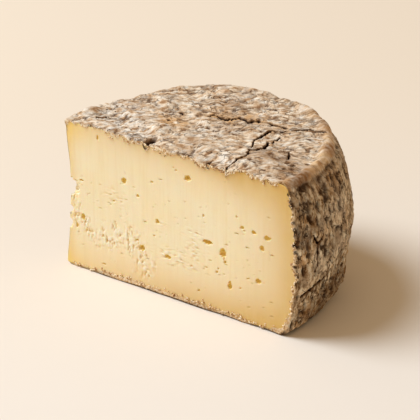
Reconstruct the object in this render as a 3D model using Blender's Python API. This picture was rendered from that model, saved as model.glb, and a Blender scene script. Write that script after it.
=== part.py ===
"""A cut half of a small round cheese with a natural, cracked rind, made as one solid.

Metres, +Z up. X runs along the cut face from its thin end to its full end, and Y points
from the cut face into the cheese. The origin lies on the flat base, behind the middle of
the cut. The form starts as a half drum of radius 1 and height 1, and shaped() gives it the
wheel's uneven outline, its bellied side and its rising top.
"""

import math

import bmesh
import bpy
from mathutils import Matrix, Vector, noise

MM = 0.001
TINY = 1e-6

# The wheel that was cut
WHEEL_RADIUS = 97.4 * MM
HEIGHT = 106.7 * MM
AXIS_X = 2.2 * MM
AXIS_BEHIND_CUT = 3.6 * MM
OVAL = 0.11
OVAL_TOWARDS = math.radians(72)
LOBE = 0.015
LOBE_TOWARDS = math.radians(-3)
RISE_TO_BACK = 0.02

# The cut face lies this far in front of the origin
CUT_Y = -60 * MM

# The side's belly, as its outward swell at mid height
BELLY_FULL_END = 9.5 * MM
BELLY_BACK = 17 * MM
BELLY_THIN_END = -4 * MM
BELLY_FULLNESS = 0.86

# Rounded edges of the rind
SHOULDER = 5.2 * MM
SHOULDER_SQUARENESS = 2.6
THIN_END_SQUARENESS = 2.4
FOOT = 3.5 * MM

# How finely the skin is divided
SPOKES = 72
TOP_RINGS = 20
SIDE_ROWS = 21
EDGE_STEPS = 3

# Crags of the rind
TOP_CRAG_LENGTH = 30 * MM
TOP_CRAG_WIDTH = 19 * MM
TOP_RELIEF = 2.8 * MM
SIDE_CRAG_WIDTH = 17 * MM
SIDE_CRAG_HEIGHT = 44 * MM
SIDE_RELIEF = 1.8 * MM
CRAG_ROUGHNESS = 1.0
CRAG_STEP = 2.0
CRAG_OCTAVES = 3
CRAG_LAYER = 0.5
FLAT_BASE = 1.5 * MM
BASE_BLEND = 7 * MM

# Eyes in the paste: place along the cut, height above the base, width and height
EYES = (
    (15.5, 90.3, 5.8, 4.2),
    (-36.7, 74.4, 4.2, 4.4),
    (31.3, 49.3, 7.6, 3.4),
    (43.5, 45.3, 5.2, 6.2),
    (58.6, 67.4, 3.0, 2.8),
    (67.9, 66.7, 4.0, 2.6),
    (78.2, 65.6, 5.6, 3.2),
    (74.2, 57.2, 3.8, 3.8),
    (71.6, 33.2, 4.4, 3.8),
    (49.2, 23.8, 3.4, 5.8),
    (-25.2, 66.6, 2.8, 2.4),
    (-22.1, 29.6, 4.2, 5.0),
    (-1.0, 29.3, 5.2, 3.2),
    (-71.3, 38.6, 3.2, 5.0),
    (-9.4, 52.7, 3.0, 3.2),
)
EYE_DEPTH = 0.75
BITE_ROUGHNESS = 0.3
BITE_GRAIN = 1.6
BITE_SEED_STEP = Vector((3.7, 1.0, 0.0))

# Chips out of the cut's edges: place, height, width, height and depth of the bite
CHIPS = (
    (-18.4, 106.4, 6.0, 4.6, 8.0),
    (12.0, 106.6, 3.6, 3.0, 6.0),
    (31.0, 106.2, 3.4, 2.8, 9.0),
    (-83.5, 57.5, 11.0, 7.5, 9.0),
    (-83.0, 42.0, 6.5, 5.5, 7.0),
    (-83.0, 31.5, 5.0, 6.5, 6.0),
    (-25.0, -0.4, 8.5, 3.4, 8.0),
    (1.1, -0.2, 3.8, 4.2, 6.0),
    (46.0, -0.5, 5.5, 3.0, 6.0),
    (72.0, -0.5, 7.0, 3.0, 7.0),
)

# Cracks across the top, as points along and behind the cut
LONG_CRACK = (
    (46.5, -3.0),
    (45.7, 10.7),
    (47.8, 21.8),
    (41.4, 34.4),
    (36.4, 43.8),
    (40.1, 55.3),
    (47.9, 61.0),
    (54.3, 70.0),
    (60.9, 81.4),
)
WIDE_CRACK = (
    (-13.5, 51.7),
    (-9.1, 55.4),
    (0.4, 57.8),
    (16.5, 63.8),
    (25.0, 68.8),
    (33.8, 70.6),
    (45.8, 70.4),
)
BRANCH_CRACK = (
    (47.8, 24.5),
    (48.8, 35.4),
    (49.7, 40.4),
    (47.7, 49.7),
    (48.2, 58.0),
)

# Cracks down the side, as degrees round from the full end and a height
UPPER_SIDE_CRACK = (
    (7.5, 72.0),
    (11.8, 63.0),
    (11.2, 54.0),
    (10.2, 46.0),
    (9.2, 38.0),
)
LOWER_SIDE_CRACK = (
    (3.2, 27.5),
    (6.0, 31.0),
    (8.9, 34.4),
    (16.6, 34.4),
)
CRACK_DEPTH = 3.6 * MM
CRACK_ABOVE = 2.5 * MM
CRACK_WANDER = 1.3 * MM
CRACK_WANDER_SIZE = 6 * MM
CRACK_END = 0.2


def rim_radius(angle):
    """From the middle of the cut to the top rim: a circle about the wheel's axis, oval and lobed."""
    along, behind = math.cos(angle), math.sin(angle)
    across = AXIS_X * behind - AXIS_BEHIND_CUT * along
    circle = AXIS_X * along + AXIS_BEHIND_CUT * behind + math.sqrt(WHEEL_RADIUS**2 - across**2)
    oval = OVAL * math.cos(2 * (angle - OVAL_TOWARDS))
    lobe = LOBE * math.cos(3 * (angle - LOBE_TOWARDS))
    return circle * (1 + oval + lobe)


def belly(angle, share):
    """The side's outward swell at a share of the height."""
    back = math.sin(angle)
    end = BELLY_FULL_END if math.cos(angle) > 0 else BELLY_THIN_END
    fullness = max(0.0, 4 * share * (1 - share)) ** BELLY_FULLNESS
    return (BELLY_BACK * back + end * (1 - back)) * fullness


def squared_shoulder(reach, share, angle):
    """Draws the unit drum's round shoulder out towards a square corner, most at the thin end."""
    inward, down = SHOULDER / WHEEL_RADIUS, SHOULDER / HEIGHT
    out, up = 1 - (1 - reach) / inward, 1 - (1 - share) / down
    if out <= 0 or up <= 0:
        return reach, share
    power = SHOULDER_SQUARENESS + THIN_END_SQUARENESS * max(0.0, -math.cos(angle))
    stretch = math.hypot(out, up) / (out**power + up**power) ** (1 / power)
    return 1 - inward * (1 - out * stretch), 1 - down * (1 - up * stretch)


def shaped(point):
    """Where a point of the unit half drum lies on the smooth cheese, from the middle of the cut."""
    angle = math.atan2(max(point.y, 0.0), point.x)
    reach, share = squared_shoulder(math.hypot(point.x, point.y), point.z, angle)
    reach *= rim_radius(angle) + belly(angle, share)
    behind = reach * math.sin(angle)
    return Vector((reach * math.cos(angle), behind, share * (HEIGHT + RISE_TO_BACK * behind)))


def crags(place):
    return noise.fractal(place, CRAG_ROUGHNESS, CRAG_STEP, CRAG_OCTAVES)


def relief(point, outward):
    """Height of the crags at a point: long ones across the top and upright ones on the side."""
    top = crags(Vector((point.x / TOP_CRAG_LENGTH, point.y / TOP_CRAG_WIDTH, CRAG_LAYER)))
    side = crags(Vector((point.x / SIDE_CRAG_WIDTH, point.y / SIDE_CRAG_WIDTH, point.z / SIDE_CRAG_HEIGHT)))
    upward = max(0.0, outward.z)
    height = TOP_RELIEF * upward * top + SIDE_RELIEF * (1 - upward) * side
    above_base = (point.z - FLAT_BASE) / BASE_BLEND
    return height * min(1.0, max(0.0, above_base))


def in_place(point):
    """A point measured from the middle of the cut, moved to the part's frame."""
    return point + Vector((0, CUT_Y, 0))


def drum_profile():
    """Half section of the unit drum, from the middle of the top round the shoulder and foot."""
    quarter = math.pi / 2
    shoulder = (SHOULDER / WHEEL_RADIUS, SHOULDER / HEIGHT)
    foot = (FOOT / WHEEL_RADIUS, FOOT / HEIGHT)
    points = [((1 - shoulder[0]) * ring / TOP_RINGS, 1.0) for ring in range(TOP_RINGS)]
    for step in range(EDGE_STEPS + 1):
        turn = quarter * step / EDGE_STEPS
        points.append((1 - shoulder[0] * (1 - math.sin(turn)), 1 - shoulder[1] * (1 - math.cos(turn))))
    side = 1 - shoulder[1] - foot[1]
    points += [(1.0, foot[1] + side * (1 - row / SIDE_ROWS)) for row in range(1, SIDE_ROWS)]
    for step in range(EDGE_STEPS + 1):
        turn = quarter * step / EDGE_STEPS
        points.append((1 - foot[0] * (1 - math.cos(turn)), foot[1] * (1 - math.sin(turn))))
    points.append((0.0, 0.0))
    return points


def half_drum():
    """The unit half drum, closed at the cut."""
    bm = bmesh.new()
    corners = [bm.verts.new((reach, 0, height)) for reach, height in drum_profile()]
    edges = [bm.edges.new(pair) for pair in zip(corners, corners[1:])]
    bmesh.ops.spin(bm, geom=corners + edges, cent=(0, 0, 0), axis=(0, 0, 1), angle=math.pi, steps=SPOKES)
    bmesh.ops.remove_doubles(bm, verts=bm.verts, dist=TINY)
    bmesh.ops.holes_fill(bm, edges=[edge for edge in bm.edges if edge.is_boundary])
    bmesh.ops.recalc_face_normals(bm, faces=bm.faces)
    return bm


def craggy_body():
    """The whole cheese before its eyes and cracks, with its cut face kept flat."""
    bm = half_drum()
    for vert in bm.verts:
        vert.co = shaped(vert.co)
    bm.normal_update()
    places = []
    for vert in bm.verts:
        outward = vert.normal.copy()
        if vert.co.y < TINY:
            outward.y = 0
            outward.normalize()
        places.append(vert.co + outward * relief(vert.co, outward))
    for vert, place in zip(bm.verts, places):
        vert.co = in_place(place)
    return bm


def add_bite(bm, middle, size, seed):
    """A rough ball that bites into the cheese, given in millimetres from the middle of the cut."""
    shape = Matrix.Translation(in_place(middle * MM)) @ Matrix.Diagonal((*(side * MM / 2 for side in size), 1))
    for vert in bmesh.ops.create_icosphere(bm, subdivisions=2, radius=1)["verts"]:
        vert.co *= 1 + BITE_ROUGHNESS * noise.noise(vert.co * BITE_GRAIN + BITE_SEED_STEP * seed)
        vert.co = shape @ vert.co


def bites():
    """Every eye of the cut face and every chip of its edges."""
    bm = bmesh.new()
    for seed, (along, height, width, tall) in enumerate(EYES):
        add_bite(bm, Vector((along, 0, height)), (width, EYE_DEPTH * (width + tall), tall), seed)
    for seed, (along, height, width, tall, deep) in enumerate(CHIPS, len(EYES)):
        add_bite(bm, Vector((along, 0, height)), (width, deep, tall), seed)
    return bm


def top_point(along, behind):
    """A point of the top, given in millimetres, and the way out of it."""
    behind *= MM
    point = Vector((along * MM, behind, HEIGHT + RISE_TO_BACK * behind))
    outward = Vector((0, 0, 1))
    return point + outward * relief(point, outward), outward


def side_point(degrees, height):
    """A point of the side, given as an angle and a height in millimetres, and the way out of it."""
    outward = Vector((math.cos(math.radians(degrees)), math.sin(math.radians(degrees)), 0))
    point = shaped(Vector((outward.x, outward.y, height * MM / HEIGHT)))
    return point + outward * relief(point, outward), outward


def with_halfway_points(points):
    """The same path with a point added in the middle of each stretch."""
    finer = [points[0]]
    for before, after in zip(points, points[1:]):
        finer += [tuple((a + b) / 2 for a, b in zip(before, after)), after]
    return finer


def crack_blade(path, width, surface):
    """A V-shaped blade that follows the surface, widest in the middle of its path."""
    bm = bmesh.new()
    places = [surface(*point) for point in with_halfway_points(path)]
    last = len(places) - 1
    sections = []
    for index, (point, outward) in enumerate(places):
        ahead = places[min(index + 1, last)][0] - places[max(index - 1, 0)][0]
        sideways = ahead.cross(outward).normalized()
        swell = CRACK_END + (1 - CRACK_END) * math.sin(math.pi * index / last)
        middle = in_place(point + sideways * CRACK_WANDER * noise.noise(point / CRACK_WANDER_SIZE))
        half = sideways * width / 2 * swell * (CRACK_DEPTH + CRACK_ABOVE) / CRACK_DEPTH
        above = middle + outward * CRACK_ABOVE
        corners = (above - half, above + half, middle - outward * CRACK_DEPTH * swell)
        sections.append([bm.verts.new(corner) for corner in corners])
    for near, far in zip(sections, sections[1:]):
        for side in range(3):
            after = (side + 1) % 3
            bm.faces.new((near[side], near[after], far[after], far[side]))
    bm.faces.new(reversed(sections[0]))
    bm.faces.new(sections[-1])
    bmesh.ops.triangulate(bm, faces=bm.faces)
    bmesh.ops.recalc_face_normals(bm, faces=bm.faces)
    return bm


def add_object(name, bm):
    """The finished mesh as an object of the scene."""
    mesh = bpy.data.meshes.new(name)
    bm.to_mesh(mesh)
    bm.free()
    made = bpy.data.objects.new(name, mesh)
    bpy.context.scene.collection.objects.link(made)
    return made


def cut_with(solid, name, bm):
    """Takes a cutter's form out of the solid."""
    cutter = add_object(name, bm)
    cutter.hide_render = True
    cutter.display_type = "WIRE"
    cut = solid.modifiers.new(name, "BOOLEAN")
    cut.operation = "DIFFERENCE"
    cut.solver = "EXACT"
    cut.object = cutter


def cheese_finish():
    """Pale yellow paste."""
    finish = bpy.data.materials.new("cheese")
    finish.use_nodes = True
    shader = finish.node_tree.nodes["Principled BSDF"]
    shader.inputs["Base Color"].default_value = (0.76, 0.56, 0.27, 1)
    shader.inputs["Roughness"].default_value = 0.55
    shader.inputs["Metallic"].default_value = 0
    return finish


def main():
    for left_over in list(bpy.data.objects):
        bpy.data.objects.remove(left_over)
    cheese = add_object("cheese", craggy_body())
    cheese.data.materials.append(cheese_finish())
    cut_with(cheese, "bites", bites())
    cut_with(cheese, "long_crack", crack_blade(LONG_CRACK, 1.7 * MM, top_point))
    cut_with(cheese, "wide_crack", crack_blade(WIDE_CRACK, 2.3 * MM, top_point))
    cut_with(cheese, "branch_crack", crack_blade(BRANCH_CRACK, 1.2 * MM, top_point))
    cut_with(cheese, "upper_side_crack", crack_blade(UPPER_SIDE_CRACK, 1.2 * MM, side_point))
    cut_with(cheese, "lower_side_crack", crack_blade(LOWER_SIDE_CRACK, 1.7 * MM, side_point))


main()
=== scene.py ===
import math
import random

import bmesh
import bpy
from mathutils import Matrix, Vector, noise


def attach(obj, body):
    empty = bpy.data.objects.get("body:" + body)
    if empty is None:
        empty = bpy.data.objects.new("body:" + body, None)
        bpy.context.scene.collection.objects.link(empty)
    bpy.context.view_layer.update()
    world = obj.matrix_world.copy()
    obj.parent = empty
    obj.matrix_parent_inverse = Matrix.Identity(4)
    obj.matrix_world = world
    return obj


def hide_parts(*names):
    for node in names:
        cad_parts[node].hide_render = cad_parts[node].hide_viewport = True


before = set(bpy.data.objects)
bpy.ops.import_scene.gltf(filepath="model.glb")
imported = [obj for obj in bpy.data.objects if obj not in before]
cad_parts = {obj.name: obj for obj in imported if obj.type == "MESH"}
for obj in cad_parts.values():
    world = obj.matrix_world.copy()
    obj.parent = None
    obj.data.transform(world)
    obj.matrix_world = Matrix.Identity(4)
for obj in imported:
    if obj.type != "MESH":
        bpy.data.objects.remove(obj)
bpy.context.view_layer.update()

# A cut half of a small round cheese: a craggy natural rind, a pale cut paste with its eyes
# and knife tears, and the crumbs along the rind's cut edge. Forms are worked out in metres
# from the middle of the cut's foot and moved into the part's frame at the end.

MM = 0.001
TINY = 1e-6

# The wheel that was cut, as in the part's source
WHEEL_RADIUS = 97.4 * MM
HEIGHT = 106.7 * MM
AXIS_X = 2.2 * MM
AXIS_BEHIND_CUT = 3.6 * MM
OVAL = 0.11
OVAL_TOWARDS = math.radians(72)
LOBE = 0.015
LOBE_TOWARDS = math.radians(-3)
RISE_TO_BACK = 0.02
CUT_Y = -60 * MM
BELLY_FULL_END = 9.5 * MM
BELLY_BACK = 17 * MM
BELLY_THIN_END = -4 * MM
BELLY_FULLNESS = 0.86
SHOULDER = 5.2 * MM
SHOULDER_SQUARENESS = 2.6
THIN_END_SQUARENESS = 2.4
FOOT = 3.5 * MM
TOP_CRAG_LENGTH = 30 * MM
TOP_CRAG_WIDTH = 19 * MM
TOP_RELIEF = 2.8 * MM
SIDE_CRAG_WIDTH = 17 * MM
SIDE_CRAG_HEIGHT = 44 * MM
SIDE_RELIEF = 1.8 * MM
FLAT_BASE = 1.5 * MM
BASE_BLEND = 7 * MM

# How finely the rind is divided
SPOKES = 350
TOP_RINGS = 92
SIDE_ROWS = 102
SHOULDER_STEPS = 8
FOOT_STEPS = 5
BASE_RINGS = 6

# The rind's cut lip, and the pocket behind it that holds the paste
LIP_ROWS = 8
LIP_WIDTH = 5.4 * MM
LIP_THIN_END = 0.3
LIP_TUCK = 1.3 * MM
POCKET_DEPTH = 26 * MM
POCKET_TAPER = 0.86

# The paste's cut face
PASTE_COLUMNS = 320
PASTE_ROWS = 190
PASTE_MARGIN = 1.3 * MM
PASTE_THIN_MARGIN = -0.25 * MM
PASTE_RECESS = 0.1 * MM
PASTE_DEPTH = 25 * MM
PASTE_TAPER = 0.84

# Crumbs: how many, and their least, greatest and usual size in millimetres
CRUMBS = 700
CRUMB_SIZES = (0.25, 0.95, 0.4)

# Eyes of the paste: place along and up the cut, width and height in millimetres
EYES = (
    (15.5, 90.3, 5.8, 4.2), (-36.7, 74.4, 4.2, 4.4), (31.3, 49.3, 7.6, 3.4), (43.5, 45.3, 5.2, 6.2),
    (58.6, 67.4, 3.0, 2.8), (67.9, 66.7, 4.0, 2.6), (78.2, 65.6, 5.6, 3.2), (74.2, 57.2, 3.8, 3.8),
    (71.6, 33.2, 4.4, 3.8), (49.2, 23.8, 3.4, 5.8), (-25.2, 66.6, 2.8, 2.4), (-22.1, 29.6, 4.2, 5.0),
    (-1.0, 29.3, 5.2, 3.2), (-71.3, 38.6, 3.2, 5.0), (-9.4, 52.7, 3.0, 3.2),
)
SMALL_EYES = (
    (45.3, 39.0, 2.4, 2.6), (44.4, 41.6, 1.6, 2.6), (-13.5, 79.7, 2.4, 1.6), (27.9, 67.2, 1.6, 2.4),
    (-54.7, 8.5, 3.2, 1.6), (-58.1, 99.0, 1.8, 3.4), (24.2, 12.4, 2.0, 2.0), (38.8, 30.2, 2.2, 2.0),
    (54.5, 74.1, 1.5, 2.0), (57.5, 24.0, 1.6, 1.4), (63.6, 32.6, 2.2, 1.2), (-26.0, 34.4, 3.0, 1.4),
    (40.0, 33.0, 1.4, 2.0), (-12.2, 41.6, 1.8, 1.4), (-45.5, 57.2, 2.6, 1.2), (-72.6, 65.0, 3.4, 1.4),
    (-77.5, 55.0, 3.6, 1.6), (-76.5, 31.0, 2.2, 3.4),
)
# Pin holes: how many, their least and greatest size, and the share that are drawn out level
PIN_HOLES = 160
PIN_HOLE_SIZE = (0.55, 1.1)
PIN_HOLES_LEVEL = 0.45
EYE_DEPTH = 0.5
BITE_ROUGHNESS = 0.75
BITE_GRAIN = 1.7

# Chips out of the cut's edges: place along and up, and the bite's width, height and depth
CHIPS = (
    (-18.4, 106.4, 6.0, 4.6, 8.0), (12.0, 106.6, 3.6, 3.0, 6.0), (31.0, 106.2, 3.4, 2.8, 9.0),
    (-81.0, 58.5, 14.0, 12.0, 10.0), (-83.0, 42.0, 6.5, 5.5, 7.0), (-83.0, 31.5, 5.0, 6.5, 6.0),
    (-25.0, -0.4, 8.5, 3.4, 8.0), (1.1, -0.2, 3.8, 4.2, 6.0), (46.0, -0.5, 5.5, 3.0, 6.0),
    (72.0, -0.5, 7.0, 3.0, 7.0),
)

# Cracks of the top, in millimetres along and behind the cut, with their widths
TOP_CRACKS = (
    (2.2, ((46.8, -7), (45.7, 3.2), (45.4, 12.2), (48.3, 18), (44.2, 28))),
    (3.4, ((44.2, 28), (47.9, 31.6), (49.1, 35.4), (50, 39.7), (47.8, 43.8))),
    (2.3, ((41.7, 33.7), (38.2, 40.7), (36.1, 44.8), (36.9, 49.2), (37.7, 53.6), (39.5, 58.8), (43.7, 61.9),
           (48.1, 61.2), (49, 65.7), (52.4, 72), (57.4, 78.6), (67, 80.7))),
    (1.8, ((50.3, 43.7), (49.5, 47), (46.9, 50.7), (48.2, 55.5))),
    (2.4, ((66.3, 40.4), (71.2, 32.8))),
    (2.4, ((33.6, -6), (32.3, -1), (31.3, 5.7))),
    (3.2, ((-9.6, 56.4), (-7.9, 59.6))),
    (2.8, ((-7.9, 59.6), (-0.7, 58.8), (3.4, 59.9), (6.6, 62.2), (9.4, 66.2))),
    (5.6, ((9.4, 66.2), (13.4, 65.1), (17.3, 64.1), (20.1, 67), (22.2, 69.6))),
    (3.0, ((24, 65), (26.1, 67.5))),
    (2.8, ((24, 68.4), (31.2, 68.3), (36.7, 68.4), (44.8, 69.4))),
    (2.0, ((-68.8, 12.4), (-67.1, 16.6), (-65.4, 20.8))),
)
# Pits of the top, in millimetres along and behind the cut, with their widths
TOP_PITS = (
    (59.6, 30, 2.4), (64.7, 27.2, 2.6), (65.2, 41.4, 2.2), (74.1, 27.6, 2.8), (79.7, 26.2, 2.6),
    (76.4, 4.7, 2.8), (70, 7, 2.4), (77.7, 19.2, 2.2), (15.5, 1.5, 3.2), (12, 35, 2),
    (6.3, 40.5, 1.8), (-27.8, 51.1, 2.6), (-57, 54.2, 2.2), (-51.1, 14.4, 2), (-42.9, 12.5, 2),
    (68.4, 51.3, 2.2), (67.4, 61.8, 2), (-84.7, 7.9, 4.5), (-28.2, 38, 2.4), (58, 36, 1.8),
    (83, 36, 2.2), (54, 14, 2),
)
# Cracks of the side, in millimetres round from the full end (on a 100 mm circle) and up
SIDE_CRACKS = (
    (1.7, ((14.7, 68.4), (19, 61.2), (18.5, 56.5), (18.9, 47.9), (15.7, 42.7))),
    (1.5, ((25.6, 65), (22.6, 63), (19, 61.2))),
    (2.0, ((6, 29), (10.5, 31), (15.4, 33), (28.8, 33.7))),
)
CRACK_DEPTH = 3.2
CRACK_REACH = 4.0
CRACK_NARROWING = 2.6

# Pits of the side, in millimetres: place round and up, width, height and depth
SIDE_PITS = (
    (33, 91.5, 3.5, 4, 2.2), (31, 87, 2.6, 4.5, 2.0), (35.5, 86.5, 2.4, 3, 1.6), (22.5, 97.5, 3, 3.5, 1.8),
    (46.5, 103, 6, 3.5, 2.2), (40.5, 63.1, 5, 4, 2.6), (13.2, 78.1, 3, 5, 2.0), (20, 75.6, 2.6, 5, 2.0),
    (7.4, 71, 3, 4, 1.8), (10.3, 89, 3, 2.6, 1.6), (17.3, 11.8, 2.8, 4, 1.8), (27.9, 26.3, 5, 3, 2.0),
    (16.7, 40.9, 2, 3.5, 1.4), (2.5, 29.6, 2.6, 3.5, 1.6), (2, 8.9, 3, 6, 1.8), (2, 65.3, 2.6, 3.5, 1.5),
    (2, 58, 2.6, 3, 1.2),
)

# Patches of white bloom, brown shade and ochre, in millimetres: place and size, on the top and
# round the side; and how much flatter the ochre's patches are than round ones
TOP_BLOOM = ((2, 38, 11), (77, 66, 12), (-58, 22, 22), (-72, 32, 10), (-30, 8, 12), (34, 9, 9))
TOP_SHADE = ((15, 50, 9), (-59, 44, 9), (-7, 81, 10), (58, 28, 13), (83, 20, 13), (8, 17, 9))
OCHRE_PATCHES = ((-2, 62, 13), (-21, 40, 11), (14, 70, 12), (-30, 36, 9), (-19, 33, 8))
OCHRE_FLATNESS = math.sqrt(2)
SIDE_BLOOM = ((27, 74, 6), (47, 78, 11), (43, 54, 11), (20, 48, 8))
SIDE_SHADE = (
    (7.4, 69, 6), (34, 18, 9), (28, 8, 8), (30, 85, 6), (14, 102, 7), (33, 103, 8), (22, 62, 5), (3, 94, 7),
    (0, 71, 7), (17, 78, 7), (36, 57, 8), (43, 27, 9), (7, 44, 6), (14, 14, 7), (60, 14, 14), (62, 42, 8),
)

# Values from 0 to 1 that the finishes read at each corner of the meshes. The rind's hollows, cracks and foot
# line carry painted shade; the paste's eyes and torn gaps carry painted shade and its torn ridges painted
# highlight.
RIND_MASKS = ("top", "hollow", "crack", "bloom", "shade", "ochre", "lip", "pale", "rolled", "foot")
PASTE_MASKS = ("eye", "tear", "ridge", "skin", "glow", "tint")

CUT_OUT = Vector((0, -1, 0))
WRINKLE_RUN = math.radians(37.4)
# Where the top's wrinkles shear, in millimetres: shift, middle and length along them, then
# place and reach behind the cut
RUN_SHEARS = ((-3, 26, 24, 12, 24), (3, 76, 16, 22, 18))
# Broad swells and dips of the top, in millimetres: size, then place and spread along and behind the cut
TOP_SWELLS = ((2.4, -30, 20, 100, 24), (1.2, -80, 7, 27, 9), (1.3, 4, 14, 110, 14), (-1.0, -84, 7, 14, 9))
# Swells of the heel: size in millimetres, place and spread round in radians, then up in millimetres
HEEL_SWELLS = ((2.4, 0.62, 0.3, 15, 10), (0.9, 0.64, 0.3, 46, 9))
THIN_FOOT_SWELL = 1.1
# The rolled rim, in millimetres, and the hollow pressed into the top at the cut's edge
RIM_HEIGHT = 1.4
RIM_INSIDE = 2.4
GROOVE_DEPTH = 1.6
GROOVE_BELOW = 5.0
SCOOP_AT = (-18.2, 3.0)
SCOOP_REACH = (3.2, 7.5)
SCOOP_DEPTH = 2.6


# Form of the wheel

def rim_radius(angle):
    """From the middle of the cut to the top rim."""
    along, behind = math.cos(angle), math.sin(angle)
    across = AXIS_X * behind - AXIS_BEHIND_CUT * along
    circle = AXIS_X * along + AXIS_BEHIND_CUT * behind + math.sqrt(WHEEL_RADIUS**2 - across**2)
    oval = OVAL * math.cos(2 * (angle - OVAL_TOWARDS))
    lobe = LOBE * math.cos(3 * (angle - LOBE_TOWARDS))
    return circle * (1 + oval + lobe)


def belly(angle, share):
    """The side's outward swell at a share of the height."""
    back = math.sin(angle)
    end = BELLY_FULL_END if math.cos(angle) > 0 else BELLY_THIN_END
    fullness = max(0.0, 4 * share * (1 - share)) ** BELLY_FULLNESS
    return (BELLY_BACK * back + end * (1 - back)) * fullness


def squared_shoulder(reach, share, angle):
    """Draws the unit drum's round shoulder out towards a square corner, most at the thin end."""
    inward, down = SHOULDER / WHEEL_RADIUS, SHOULDER / HEIGHT
    out, up = 1 - (1 - reach) / inward, 1 - (1 - share) / down
    if out <= 0 or up <= 0:
        return reach, share
    power = SHOULDER_SQUARENESS + THIN_END_SQUARENESS * max(0.0, -math.cos(angle))
    stretch = math.hypot(out, up) / (out**power + up**power) ** (1 / power)
    return 1 - inward * (1 - out * stretch), 1 - down * (1 - up * stretch)


def shaped(point):
    """Where a point of the unit half drum lies on the smooth cheese."""
    angle = math.atan2(max(point.y, 0.0), point.x)
    reach, share = squared_shoulder(math.hypot(point.x, point.y), point.z, angle)
    reach *= rim_radius(angle) + belly(angle, share)
    behind = reach * math.sin(angle)
    return Vector((reach * math.cos(angle), behind, share * (HEIGHT + RISE_TO_BACK * behind)))


def crags(place):
    return noise.fractal(place, 1.0, 2.0, 3)


def relief(point, outward):
    """Height of the broad crags that the part's source also has."""
    top = crags(Vector((point.x / TOP_CRAG_LENGTH, point.y / TOP_CRAG_WIDTH, 0.5)))
    side = crags(Vector((point.x / SIDE_CRAG_WIDTH, point.y / SIDE_CRAG_WIDTH, point.z / SIDE_CRAG_HEIGHT)))
    upward = max(0.0, outward.z)
    height = TOP_RELIEF * upward * top + SIDE_RELIEF * (1 - upward) * side
    return height * clamp((point.z - FLAT_BASE) / BASE_BLEND)


# Small helpers

def clamp(value, low=0.0, high=1.0):
    return max(low, min(high, value))


def ease(low, high, value):
    """A smooth step from 0 at low to 1 at high."""
    share = clamp((value - low) / (high - low))
    return share * share * (3 - 2 * share)


def valley(value, width):
    """1 along the line where a noise crosses zero, falling to 0 at the given distance."""
    return max(0.0, 1 - abs(value) / width)


def hump(value, middle, width):
    """1 at its middle, falling smoothly away over its width on both sides."""
    return math.exp(-(((value - middle) / width) ** 2))


def grain(x, y, z):
    return noise.noise(Vector((x, y, z)))


# Fine relief of the rind, in millimetres

def across_run(x, y):
    """Distances along and across the direction that the top's wrinkles run in."""
    along = x * math.cos(WRINKLE_RUN) + y * math.sin(WRINKLE_RUN)
    return along, y * math.cos(WRINKLE_RUN) - x * math.sin(WRINKLE_RUN)


def top_run(place):
    """Distances along and across the top's wrinkles, which turn towards the cut near its middle."""
    along, across = across_run(place.x, place.y)
    for shift, middle, length, behind, reach in RUN_SHEARS:
        across += shift * math.erf((along - middle) / length) * hump(place.y, behind, reach)
    across += 2.6 * grain(along / 17, across / 15, 1.7)
    along += 3.0 * grain(along / 12, across / 12, 21.7)
    return along, across


def top_texture(place):
    """Height and hollowness of the top's wrinkles, folds and pits."""
    along, across = top_run(place)
    lump = noise.fractal(Vector((along / 10, across / 5.6, 5.0)), 1.1, 2.0, 2)
    lump += 0.15 * grain(place.x / 3, place.y / 3, 15.0)
    deep = clamp(0.5 + 1.4 * grain(along / 19, across / 17, 31.0))
    fold = valley(grain(along / 11, across / 4.4, 2.0), 0.1) * deep
    gap = noise.voronoi(Vector((along / 6.2, across / 4.4, 9.0)))[0]
    crease = clamp(1.1 - (gap[1] - gap[0]) / 0.17) * clamp(0.45 + 1.5 * grain(along / 8, across / 6, 63.0))
    pit = ease(0.28, 0.42, grain(along / 3.6, across / 3.0, 44.0)) * clamp(deep + 0.2)
    calm = 1 - 0.5 * hump(place.x, 18, 36) * hump(place.y, 14, 20)
    height = calm * (0.95 * lump - 0.75 * fold - 0.35 * crease - 1.0 * pit)
    hollow = calm * (0.95 * fold + 0.5 * crease + 1.1 * pit - 0.5 * lump)
    return height, clamp(hollow)


def top_pit(place):
    """Depth share of the listed pits at a place of the top, drawn out along the wrinkles."""
    depth = 0.0
    for x, y, width in TOP_PITS:
        if abs(place.x - x) < width and abs(place.y - y) < width:
            along, across = across_run(place.x - x, place.y - y)
            off = math.hypot(along / 1.3, across) * 2 / width + 0.5 * grain(place.x / 1.6, place.y / 1.6, 33)
            depth = max(depth, clamp(1.5 - 1.5 * off))
    return depth


def side_drift(place):
    return 2.2 * grain(place.x / 11, place.y / 11, place.z / 24)


def side_run(place):
    """Place on the side, drifting with its ribs."""
    drift = side_drift(place)
    return Vector((place.x + drift, place.y + drift, place.z))


def side_texture(place):
    """Height and hollowness of the side's upright ribs and pits."""
    x, y, z = place
    drift = side_drift(place)
    u, v = x + drift, y + drift
    rib = noise.fractal(Vector((u / 4.8, v / 4.8, z / 12)), 0.9, 2.0, 3)
    groove = valley(grain(u / 4.2, v / 4.2, z / 11 + 20), 0.12)
    patch = clamp(0.5 + 1.6 * grain(x / 16, y / 16, z / 17 + 9))
    pit = ease(0.24, 0.42, grain(u / 3.4, v / 3.4, z / 5.0 + 50)) * (0.1 + patch)
    vein = valley(grain(x / 7 + 0.2 * drift, y / 7, z / 9 + 35), 0.08)
    height = 1.05 * rib - 0.8 * groove * patch - 1.3 * pit + 0.5 * vein
    hollow = 1.0 * groove * (0.35 + patch) + 1.3 * pit - 0.9 * rib - 0.6 * vein
    return height, clamp(hollow)


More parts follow.
